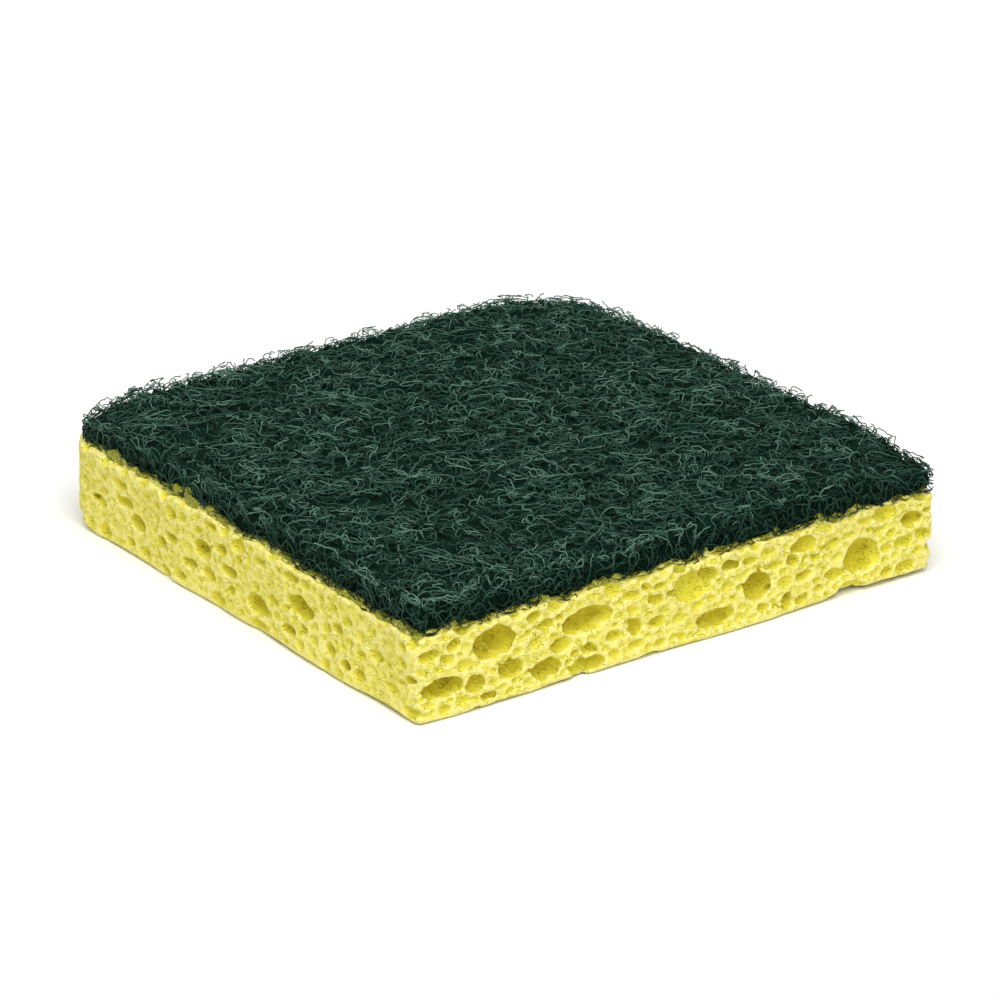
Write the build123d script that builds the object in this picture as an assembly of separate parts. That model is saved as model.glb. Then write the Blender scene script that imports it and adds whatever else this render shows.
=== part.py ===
from build123d import *
from math import pi, sin, sqrt
import os

# A cleaning sponge in three bonded layers: a cellulose block with open cells, a film of glue
# and a non-woven scouring pad. X runs along the cut edge, +Y from the cut edge to the rounded
# corners, and +Z up. The origin is the centre of the base. All sizes are in millimetres.

# Cellulose block
block_width = 91.0
block_length = 91.0
block_height = 13.6
rounded_corner_radius = 15.5
tight_corner_radius = 6.5
cut_corner_radius = 1.5
base_rim_radius = 0.8

# Glue film, drawn in a little from the block's sides
film_thickness = 0.4
film_inset = 0.3

# Scouring pad, a little smaller than the block and laid slightly to one side
pad_thickness = 4.0
pad_inset = 0.6
pad_shift = 0.6
pad_rim_radius = 1.0

# Open cells: the widest mouth and depth of those on the cut wall, the outer walls and the base
cut_cell_radius = 2.6
cut_cell_depth = 2.0
wall_cell_radius = 1.8
wall_cell_depth = 1.2
base_cell_radius = 2.2
base_cell_depth = 1.4
cut_cell_count = 15
wall_cell_count = 13
base_cell_count = 7
smallest_cell_share = 0.55
cell_edge_margin = 2.5
cell_pitch_share = 0.42
rest_patch_radius = 9.0

# Turn between one cell and the next in a row, which spreads sizes and heights without a repeat
golden_turn = pi * (3 - sqrt(5))


def slab(inset, shift, bottom, height):
    """One flat layer: the block's plan drawn in by inset, moved along X by shift, from bottom up."""
    plan = Rectangle(block_width - 2 * inset, block_length - 2 * inset)
    plan = fillet(plan.vertices().group_by(Axis.Y)[-1].sort_by(Axis.X)[-1], rounded_corner_radius - inset)
    plan = fillet(plan.vertices().group_by(Axis.Y)[-1].sort_by(Axis.X)[0], tight_corner_radius - inset)
    plan = fillet(plan.vertices().group_by(Axis.Y)[0], cut_corner_radius)
    return extrude(Pos(shift, 0, bottom) * plan, height)


def cell(face_point, outward, mouth_radius, depth):
    """A ball that leaves an open cell of this mouth and depth where it cuts a face at face_point."""
    out = Vector(*outward)
    across = Vector(out.Y, out.Z, out.X)
    ball_radius = (mouth_radius**2 + depth**2) / (2 * depth)
    centre = Vector(*face_point) + out * (ball_radius - depth)
    # The ball's seam faces outward, clear of the wall that it cuts
    return Plane(origin=centre, x_dir=out, z_dir=across) * Sphere(ball_radius)


def cell_share(index):
    """Size of one cell in a row as a share of the widest, from the smallest share up to 1."""
    return smallest_cell_share + (1 - smallest_cell_share) * (1 + sin(golden_turn * index)) / 2


def wall_cells(corner, along, outward, run, count, radius, depth):
    """Cells along one upright wall: from corner, run long in direction along, facing outward."""
    pitch = run / count
    widest = min(radius, cell_pitch_share * pitch, block_height / 2 - cell_edge_margin)
    swing = block_height / 2 - cell_edge_margin - widest
    cells = []
    for index in range(count):
        height = block_height / 2 + swing * sin(golden_turn * (index + count))
        place = Vector(*corner) + Vector(*along) * (pitch * (index + 0.5)) + Vector(0, 0, height)
        share = cell_share(index)
        cells.append(cell(tuple(place), outward, widest * share, min(depth, widest) * share))
    return cells


def base_cells():
    """Cells over the base in rows, clear of the rounded corners and of the resting patch."""
    run_x = block_width - 2 * (cell_edge_margin + base_cell_radius)
    run_y = block_length - 2 * (cell_edge_margin + base_cell_radius)
    pitch_x = run_x / base_cell_count
    pitch_y = run_y / base_cell_count
    widest = min(base_cell_radius, cell_pitch_share * min(pitch_x, pitch_y))
    corner_x = block_width / 2 - rounded_corner_radius
    corner_y = block_length / 2 - rounded_corner_radius
    cells = []
    for row in range(base_cell_count):
        for column in range(base_cell_count):
            index = row * base_cell_count + column
            wander = (cell_pitch_share * min(pitch_x, pitch_y) - widest) * sin(golden_turn * index)
            x = pitch_x * (column + 0.5) - run_x / 2 + wander
            y = pitch_y * (row + 0.5) - run_y / 2 - wander
            near_centre = sqrt(x**2 + y**2) < rest_patch_radius + widest
            in_rounded_corner = abs(x) > corner_x and y > corner_y
            if near_centre or in_rounded_corner:
                continue
            share = cell_share(index)
            cells.append(cell((x, y, 0), (0, 0, -1), widest * share, base_cell_depth * share))
    return cells


def make_sponge_block():
    """The cellulose block: its plan, softened base rim and open cells."""
    block = slab(0, 0, 0, block_height)
    block = fillet(block.edges().group_by(Axis.Z)[0], base_rim_radius)
    half_width = block_width / 2
    half_length = block_length / 2
    side_run = block_length - cell_edge_margin - rounded_corner_radius
    cells = wall_cells(
        (-half_width + cell_edge_margin, -half_length, 0), (1, 0, 0), (0, -1, 0),
        block_width - 2 * cell_edge_margin, cut_cell_count, cut_cell_radius, cut_cell_depth,
    )
    for side in (-1, 1):
        cells += wall_cells(
            (side * half_width, -half_length + cell_edge_margin, 0), (0, 1, 0), (side, 0, 0),
            side_run, wall_cell_count, wall_cell_radius, wall_cell_depth,
        )
    cells += wall_cells(
        (-half_width + rounded_corner_radius, half_length, 0), (1, 0, 0), (0, 1, 0),
        block_width - 2 * rounded_corner_radius, wall_cell_count, wall_cell_radius, wall_cell_depth,
    )
    return block - (cells + base_cells())


def make_adhesive_layer():
    """The film of glue, face to face with the block below and the pad above."""
    return slab(film_inset, 0, block_height, film_thickness)


def make_scouring_pad():
    """The scouring pad, with the rim of its top worn soft."""
    pad = slab(pad_inset, pad_shift, block_height + film_thickness, pad_thickness)
    return fillet(pad.edges().group_by(Axis.Z)[-1], pad_rim_radius)


os.makedirs("parts", exist_ok=True)
for node, make in (
    ("sponge_block", make_sponge_block),
    ("adhesive_layer", make_adhesive_layer),
    ("scouring_pad", make_scouring_pad),
):
    export_step(make(), f"parts/{node}.step")
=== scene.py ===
"""A cleaning sponge: an open-celled cellulose block, a film of glue and a pad of curled fibres.

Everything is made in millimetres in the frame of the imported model, and turned into metres when
it becomes a Blender mesh. X runs along the cut edge, +Y towards the rounded corners, +Z up.
"""

import logging
import math
from dataclasses import dataclass, field
from enum import Enum

import bmesh
import bpy
import numpy as np
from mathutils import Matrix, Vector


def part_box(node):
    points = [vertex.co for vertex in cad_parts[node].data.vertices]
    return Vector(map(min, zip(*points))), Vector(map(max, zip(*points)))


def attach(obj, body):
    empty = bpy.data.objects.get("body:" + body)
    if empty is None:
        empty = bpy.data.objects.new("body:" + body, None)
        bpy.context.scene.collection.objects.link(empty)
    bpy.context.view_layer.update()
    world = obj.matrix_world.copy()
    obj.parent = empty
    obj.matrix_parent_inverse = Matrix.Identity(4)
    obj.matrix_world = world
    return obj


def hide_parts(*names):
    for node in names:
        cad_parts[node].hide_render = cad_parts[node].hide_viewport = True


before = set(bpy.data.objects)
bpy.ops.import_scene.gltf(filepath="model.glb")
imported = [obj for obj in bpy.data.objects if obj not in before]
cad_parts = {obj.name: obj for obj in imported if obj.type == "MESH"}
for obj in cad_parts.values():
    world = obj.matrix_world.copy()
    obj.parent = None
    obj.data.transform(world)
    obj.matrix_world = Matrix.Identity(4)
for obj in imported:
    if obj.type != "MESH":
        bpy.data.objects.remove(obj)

import openvdb

log = logging.getLogger("sponge")

METRES_PER_MM = 0.001
BAKE_MAP = "OFBake"

Array = np.ndarray
Colour = tuple[float, float, float]


def as_scene_colour(colour: Colour) -> tuple[float, float, float, float]:
    """Turn a colour as the eye reads it into the linear one that Blender's sockets take.

    Args:
        colour: red, green and blue from 0 to 1, as written for a screen.

    Returns:
        The linear red, green and blue, with a full alpha.
    """
    knee, slope, lift, power = 0.04045, 12.92, 0.055, 2.4
    linear = [c / slope if c <= knee else ((c + lift) / (1 + lift)) ** power for c in colour]
    return (linear[0], linear[1], linear[2], 1.0)


def node_box(node: str) -> tuple[Array, Array]:
    """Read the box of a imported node.

    Args:
        node: the node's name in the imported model.

    Returns:
        Its lowest and its highest corner, in millimetres.
    """
    low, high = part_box(node)
    return np.array(low) / METRES_PER_MM, np.array(high) / METRES_PER_MM


@dataclass(frozen=True)
class Ripple:
    """A smooth wandering value: a few sine waves that run in seeded directions."""

    wavelength: float
    amplitude: float
    seed: int
    waves: int = 7
    stretch: tuple[float, float] = (0.6, 1.5)

    def at(self, *coords: Array) -> Array:
        """Give the value at points.

        Args:
            coords: one array for each axis, which broadcast together.

        Returns:
            The value at each point, mostly within the amplitude.
        """
        rng = np.random.default_rng(self.seed)
        total: Array = np.zeros(1)
        for _ in range(self.waves):
            heading = rng.normal(size=len(coords))
            length = self.wavelength * rng.uniform(*self.stretch)
            heading *= 2 * math.pi / length / np.linalg.norm(heading)
            phase = rng.uniform(0, 2 * math.pi)
            total = total + np.sin(sum(h * c for h, c in zip(heading, coords)) + phase)
        return self.amplitude * total / math.sqrt(self.waves)


@dataclass(frozen=True)
class Plan:
    """The outline from above: a rounded and a tighter corner at high Y, two cut ones at low Y."""

    low: tuple[float, float]
    high: tuple[float, float]
    rounded_radius: float
    tight_radius: float
    cut_radius: float
    trace_step: float = 0.2
    corner_points: int = 24

    def distance(self, x: Array, y: Array) -> Array:
        """Give the distance to the outline.

        Args:
            x: places along X.
            y: places along Y, which broadcast with x.

        Returns:
            The distance, below zero inside.
        """
        centre_x, centre_y = (self.low[0] + self.high[0]) / 2, (self.low[1] + self.high[1]) / 2
        half_x, half_y = (self.high[0] - self.low[0]) / 2, (self.high[1] - self.low[1]) / 2
        back_radius = np.where(x > centre_x, self.rounded_radius, self.tight_radius)
        radius = np.where(y > centre_y, back_radius, self.cut_radius)
        out_x = np.abs(x - centre_x) - half_x + radius
        out_y = np.abs(y - centre_y) - half_y + radius
        corner = np.hypot(np.maximum(out_x, 0), np.maximum(out_y, 0))
        return np.minimum(np.maximum(out_x, out_y), 0) + corner - radius

    def trace(self) -> tuple[Array, Array, Array]:
        """Walk the outline once round, counterclockwise from the right cut corner.

        Returns:
            The length walked, the points and the outward directions.
        """
        (x0, y0), (x1, y1) = self.low, self.high
        corners = (
            (x1 - self.cut_radius, y0 + self.cut_radius, self.cut_radius, -90),
            (x1 - self.rounded_radius, y1 - self.rounded_radius, self.rounded_radius, 0),
            (x0 + self.tight_radius, y1 - self.tight_radius, self.tight_radius, 90),
            (x0 + self.cut_radius, y0 + self.cut_radius, self.cut_radius, 180),
        )
        points = []
        for x, y, radius, start in corners:
            for angle in np.radians(start + np.linspace(0, 90, self.corner_points)):
                points.append((x + radius * math.cos(angle), y + radius * math.sin(angle)))
        ring = np.array(points + points[:1])
        walked = np.concatenate([[0], np.cumsum(np.linalg.norm(np.diff(ring, axis=0), axis=1))])
        even = np.arange(0, walked[-1], self.trace_step)
        path = np.stack([np.interp(even, walked, ring[:, axis]) for axis in (0, 1)], 1)
        span = 2
        ahead = np.roll(path, -span, axis=0) - np.roll(path, span, axis=0)
        outward = np.stack([ahead[:, 1], -ahead[:, 0]], 1)
        outward /= np.linalg.norm(outward, axis=1, keepdims=True)
        return even, path, outward


@dataclass(frozen=True)
class Seam:
    """The joint under the pad, which sags near the block's edges, most at the front right."""

    front: float = 0.95
    right_more: float = 0.35
    reach: float = 5.0
    fade: float = 2.5
    wave: Ripple = Ripple(wavelength=8.0, amplitude=0.24, seed=35)

    def drop(self, x: Array, y: Array, side: Array) -> Array:
        """Give how far the joint hangs below its level.

        Args:
            x: places along X.
            y: places along Y.
            side: the distance to the outline there.

        Returns:
            The drop at each place, in millimetres.
        """
        low, high = node_box("sponge_block")
        across = ((x - low[0]) / (high[0] - low[0])).clip(0, 1)
        back = ((y - low[1]) / (high[1] - low[1])).clip(0, 1)
        sag = (self.front + self.right_more * across) * (1 - back) + self.wave.at(x, y)
        return np.maximum(sag, 0) * ((side + self.reach) / self.fade).clip(0, 1)


def mesh_from(name: str, points: Array, faces: Array) -> bpy.types.Mesh:
    """Make a mesh from arrays.

    Args:
        name: the mesh's name.
        points: one row for each vertex, in millimetres.
        faces: one row for each face, all with as many corners.

    Returns:
        The mesh, in metres.
    """
    mesh = bpy.data.meshes.new(name)
    corners = faces.shape[1]
    mesh.vertices.add(len(points))
    mesh.vertices.foreach_set("co", (points * METRES_PER_MM).astype(np.float32).ravel())
    mesh.loops.add(faces.size)
    mesh.loops.foreach_set("vertex_index", faces.astype(np.int32).ravel())
    mesh.polygons.add(len(faces))
    mesh.polygons.foreach_set("loop_start", np.arange(0, faces.size, corners, dtype=np.int32))
    mesh.update(calc_edges=True)
    mesh.validate()
    mesh.shade_smooth()
    return mesh


def fill_holes(mesh: bpy.types.Mesh) -> None:
    """Take away the few stray triangles that thinning leaves, and close its small holes."""
    work = bmesh.new()
    work.from_mesh(mesh)
    stray = [face for face in work.faces if all(edge.is_boundary for edge in face.edges)]
    bmesh.ops.delete(work, geom=stray, context="FACES")
    bmesh.ops.holes_fill(work, edges=[edge for edge in work.edges if edge.is_boundary], sides=0)
    bmesh.ops.triangulate(work, faces=[face for face in work.faces if len(face.verts) > 3])
    work.to_mesh(mesh)
    work.free()


def place(mesh: bpy.types.Mesh) -> bpy.types.Object:
    """Put a mesh in the scene as an object at the origin, named as the mesh is."""
    piece = bpy.data.objects.new(mesh.name, mesh)
    bpy.context.scene.collection.objects.link(piece)
    return piece


def vertices_of(mesh: bpy.types.Mesh) -> Array:
    """Read a mesh's vertices, one row each, in millimetres."""
    found = np.empty(len(mesh.vertices) * 3, np.float32)
    mesh.vertices.foreach_get("co", found)
    return found.reshape(-1, 3) / METRES_PER_MM


def mark(mesh: bpy.types.Mesh, name: str, values: Array) -> None:
    """Write one number for each vertex, which a finish reads by name.

    Args:
        mesh: the mesh to write on.
        name: the attribute's name.
        values: one value for each vertex.
    """
    layer = mesh.attributes.new(name, "FLOAT", "POINT")
    layer.data.foreach_set("value", values.astype(np.float32))


def ridges_of(mesh: bpy.types.Mesh, passes: int) -> Array:
    """Measure how far each vertex stands out of its neighbours.

    Args:
        mesh: the mesh to measure.
        passes: how many rings of neighbours the measure is smoothed over.

    Returns:
        One value for each vertex, in millimetres, above zero on a ridge and below in a hollow.
    """
    count = len(mesh.vertices)
    ends = np.empty(len(mesh.edges) * 2, np.int32)
    mesh.edges.foreach_get("vertices", ends)
    ends = ends.reshape(-1, 2)
    degree = np.maximum(np.bincount(ends.ravel(), minlength=count), 1)

    def averaged(values: Array) -> Array:
        """Give each vertex the mean of its neighbours' values."""
        total = np.bincount(ends[:, 0], values[ends[:, 1]], count)
        return (total + np.bincount(ends[:, 1], values[ends[:, 0]], count)) / degree

    normal = np.empty(count * 3, np.float32)
    mesh.vertices.foreach_get("normal", normal)
    normal = normal.reshape(-1, 3)
    points = vertices_of(mesh)
    smooth = [points[:, axis].astype(np.float64) for axis in range(3)]
    for _ in range(passes):
        smooth = [averaged(values) for values in smooth]
    return ((points - np.stack(smooth, 1)) * normal).sum(1)


@dataclass
class Grid:
    """A block of distances to a surface, below zero inside, that is carved and then meshed."""

    low: Array
    high: Array
    step: float
    margin: int = 4
    values: Array = field(init=False)
    room: Array = field(init=False)
    origin: Array = field(init=False)
    warp: list[Array] = field(init=False, default_factory=list)

    def __post_init__(self) -> None:
        """Lay the grid out round the box, with a margin of empty cells."""
        self.origin = self.low - self.margin * self.step
        counts = np.ceil((self.high - self.low) / self.step).astype(int) + 2 * self.margin + 1
        self.values = np.zeros(counts, np.float32)
        self.room = np.full(counts, np.float32(self.high[2] - self.low[2]))

    def axes(self) -> tuple[Array, Array, Array]:
        """Give the coordinates along X, Y and Z, shaped to broadcast."""
        runs = [
            self.origin[i] + self.step * np.arange(n, dtype=np.float32)
            for i, n in enumerate(self.values.shape)
        ]
        return runs[0][:, None, None], runs[1][None, :, None], runs[2][None, None, :]

    def warp_by(self, ripples: tuple[Ripple, ...]) -> None:
        """Bend what is carved from now on out of its plain egg shape.

        Args:
            ripples: how far each point is moved along X, Y and Z.
        """
        x, y, z = self.axes()
        self.warp = [ripple.at(x, y, z).astype(np.float32) for ripple in ripples]

    def carve(self, centre: Array, radii: Array, turn: float, clearance: float = 0.0) -> None:
        """Take an egg-shaped hollow out, and note how much room it leaves round it.

        Args:
            centre: the hollow's centre.
            radii: its half sizes along its own axes.
            turn: its turn about Z, in radians.
            clearance: how far beyond its wall the room is noted.
        """
        reach = float(radii.max()) + 2 * self.step + clearance
        first = np.maximum(np.floor((centre - reach - self.origin) / self.step).astype(int), 0)
        last = np.ceil((centre + reach - self.origin) / self.step).astype(int) + 1
        last = np.minimum(last, self.values.shape)
        if (last <= first).any():
            return
        x, y, z = (
            start + self.step * np.arange(one, end, dtype=np.float32) - np.float32(middle)
            for start, one, end, middle in zip(self.origin, first, last, centre)
        )
        window = tuple(slice(f, e) for f, e in zip(first, last))
        x, y, z = x[:, None, None], y[None, :, None], z[None, None, :]
        if self.warp:
            x, y, z = (run + moved[window] for run, moved in zip((x, y, z), self.warp))
        cos, sin = np.float32(math.cos(turn)), np.float32(math.sin(turn))
        half = radii.astype(np.float32)
        a, b, c = (x * cos + y * sin) / half[0], (y * cos - x * sin) / half[1], z / half[2]
        near = np.sqrt(a * a + b * b + c * c)
        above_zero = np.float32(1e-6)
        steep = np.sqrt((a / half[0]) ** 2 + (b / half[1]) ** 2 + (c / half[2]) ** 2) + above_zero
        wall = near * (near - 1) / steep
        self.values[window] = np.maximum(self.values[window], -wall)
        self.room[window] = np.minimum(self.room[window], wall)

    def soften(self) -> None:
        """Round every crease by a light blur along each axis."""
        for axis in range(3):
            before, after = np.roll(self.values, 1, axis), np.roll(self.values, -1, axis)
            self.values = 0.5 * self.values + 0.25 * (before + after)

    def meshed(self, name: str, most_faces: int) -> bpy.types.Mesh:
        """Turn the surface into a closed triangle mesh.

        Args:
            name: the mesh's name.
            most_faces: the mesh is thinned to this many triangles, fewest where it is flat.

        Returns:
            The mesh, in metres.
        """
        volume = openvdb.FloatGrid()
        band = 3 * self.step
        volume.copyFromArray(np.clip(self.values, -band, band))
        points, quads = volume.convertToQuads(isovalue=0.0)
        points = points * self.step + self.origin
        raw = place(mesh_from(name + "_raw", points, quads))
        thin = raw.modifiers.new("thin", "DECIMATE")
        thin.ratio = min(1.0, most_faces / (2 * len(quads)))
        thin.use_collapse_triangulate = True
        graph = bpy.context.evaluated_depsgraph_get()
        mesh = bpy.data.meshes.new_from_object(raw.evaluated_get(graph))
        mesh.name = name
        old = raw.data
        bpy.data.objects.remove(raw)
        bpy.data.meshes.remove(old)
        mesh.validate()
        fill_holes(mesh)
        mesh.shade_smooth()
        return mesh


class Wall(Enum):
    """The upright walls on which cells are placed one by one."""

    CUT_FACE = "cut face"
    LONG_SIDE = "long side"


@dataclass(frozen=True)
class OpenCell:
    """One large cell on a wall: its place from the front corner and the base, and its size.

    Attributes:
        along: how far its centre is from the front corner.
        up: how high its centre is over the base.
        width: its whole width along the wall.
        height: its whole height.
        depth: how far it reaches into the block.
    """

    along: float
    up: float
    width: float
    height: float
    depth: float


CUT_FACE_CELLS = (
    OpenCell(4.3, 4.7, 6.6, 2.9, 3.0), OpenCell(9.8, 3.9, 3.0, 2.6, 1.8),
    OpenCell(12.8, 9.3, 7.2, 4.6, 3.4), OpenCell(15.5, 4.8, 3.9, 2.8, 2.2),
    OpenCell(21.5, 3.1, 5.2, 3.0, 2.6), OpenCell(24.2, 5.9, 3.4, 2.2, 1.6),
    OpenCell(28.5, 8.4, 8.6, 3.6, 3.0), OpenCell(28.9, 1.7, 5.8, 2.3, 2.2),
    OpenCell(36.9, 5.3, 2.4, 2.3, 1.8), OpenCell(40.3, 8.5, 2.8, 1.5, 1.2),
    OpenCell(38.4, 12.6, 3.2, 1.8, 1.4), OpenCell(46.5, 9.1, 7.6, 4.6, 1.4),
    OpenCell(49.6, 9.9, 2.8, 2.2, 1.8), OpenCell(53.3, 10.4, 3.4, 1.7, 1.4),
    OpenCell(50.7, 3.1, 6.8, 2.7, 2.4), OpenCell(58.3, 6.1, 4.8, 4.4, 3.0),
    OpenCell(66.8, 10.1, 4.4, 2.5, 2.0), OpenCell(64.4, 8.2, 2.4, 1.7, 1.4),
    OpenCell(66.8, 5.4, 3.0, 1.3, 1.4), OpenCell(72.9, 4.1, 3.6, 1.7, 1.4),
    OpenCell(77.6, 5.6, 6.0, 5.2, 3.2), OpenCell(63.7, 2.4, 2.0, 2.8, 1.8),
    OpenCell(81.9, 11.1, 4.2, 2.4, 1.8), OpenCell(86.9, 9.1, 3.6, 2.3, 1.8),
    OpenCell(75.8, 1.0, 5.2, 2.0, 1.8), OpenCell(6.1, 10.6, 1.9, 1.6, 1.2),
    OpenCell(19.4, 11.3, 2.2, 1.3, 1.2), OpenCell(11.8, 1.7, 2.2, 1.2, 1.2),
    OpenCell(71.0, 11.8, 3.8, 1.1, 0.9), OpenCell(44.5, 11.9, 2.4, 1.1, 1.0),
    OpenCell(8.0, 12.5, 3.2, 1.8, 1.2), OpenCell(29.0, 4.1, 2.4, 1.3, 1.2),
    OpenCell(72.0, 8.8, 2.8, 1.3, 1.0), OpenCell(27.6, 12.7, 3.0, 1.1, 0.9),
    OpenCell(78.2, 11.0, 3.0, 1.4, 1.1), OpenCell(9.8, -0.1, 2.8, 1.3, 1.0),
    OpenCell(39.6, 0.0, 3.4, 1.5, 1.1), OpenCell(72.6, 0.2, 2.2, 1.3, 0.9),
)

LONG_SIDE_CELLS = (
    OpenCell(28.0, 7.7, 6.2, 2.9, 2.4), OpenCell(39.0, 4.3, 5.0, 3.0, 2.4),
    OpenCell(30.8, 3.4, 3.2, 1.7, 1.6), OpenCell(20.5, 4.1, 2.3, 1.6, 1.4),
    OpenCell(16.7, 3.1, 2.0, 1.6, 1.4), OpenCell(30.5, 11.5, 4.0, 1.3, 1.2),
    OpenCell(18.8, 7.7, 2.5, 1.7, 1.4), OpenCell(34.7, 6.4, 2.7, 1.6, 1.2),
    OpenCell(43.6, 11.7, 3.8, 1.8, 1.6), OpenCell(53.0, 7.9, 3.7, 2.5, 2.0),
    OpenCell(56.3, 4.7, 3.6, 1.5, 1.5), OpenCell(51.6, 4.5, 3.4, 1.8, 1.6),
    OpenCell(46.0, 6.9, 3.9, 1.8, 1.6), OpenCell(70.7, 5.9, 3.8, 2.3, 2.4),
    OpenCell(63.8, 5.2, 2.9, 1.9, 1.8), OpenCell(74.0, 8.0, 4.5, 1.8, 1.2),
    OpenCell(63.2, 12.7, 1.9, 1.1, 1.2), OpenCell(61.0, 7.0, 3.4, 1.3, 1.0),
    OpenCell(62.7, 1.3, 2.6, 1.8, 1.4), OpenCell(69.0, 1.9, 4.0, 1.7, 1.0),
    OpenCell(75.0, 10.6, 3.6, 1.5, 1.0), OpenCell(81.0, 6.1, 4.0, 1.6, 1.0),
    OpenCell(50.8, 12.1, 3.0, 1.2, 1.1), OpenCell(45.4, 4.2, 2.2, 1.3, 1.2),
    OpenCell(6.0, 3.6, 4.6, 1.8, 0.8), OpenCell(38.6, 1.2, 4.8, 1.8, 1.2),
    OpenCell(1.6, 6.4, 2.2, 1.1, 1.4),
)


@dataclass(frozen=True)
class CellSize:
    """Cells of one size, which fill the room that the larger ones have left on the surface.

    Attributes:
        radius: half the width of a cell.
        spread: how far the radius varies, as a share of it.
        overlap: the room that a cell needs, as a share of its radius.
        flatness: half the height, as a share of the radius.
        lifted: how far outside the wall the centre lies, as a share of the radius.
        share: how many of the places with room are tried.
        on_base: whether the base has such cells too.
    """

    radius: float
    spread: float
    overlap: float
    flatness: float
    lifted: float
    share: float
    on_base: bool


CELL_LADDER = (
    CellSize(radius=1.55, spread=0.20, overlap=1.08, flatness=0.58, lifted=0.20, share=0.03, on_base=True),
    CellSize(radius=1.05, spread=0.25, overlap=1.10, flatness=0.60, lifted=0.20, share=0.10, on_base=True),
    CellSize(radius=0.76, spread=0.22, overlap=1.08, flatness=0.64, lifted=0.20, share=0.8, on_base=True),
    CellSize(radius=0.56, spread=0.18, overlap=1.04, flatness=0.68, lifted=0.15, share=1.0, on_base=False),
    CellSize(radius=0.42, spread=0.15, overlap=1.00, flatness=0.78, lifted=0.10, share=1.0, on_base=False),
)


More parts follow.
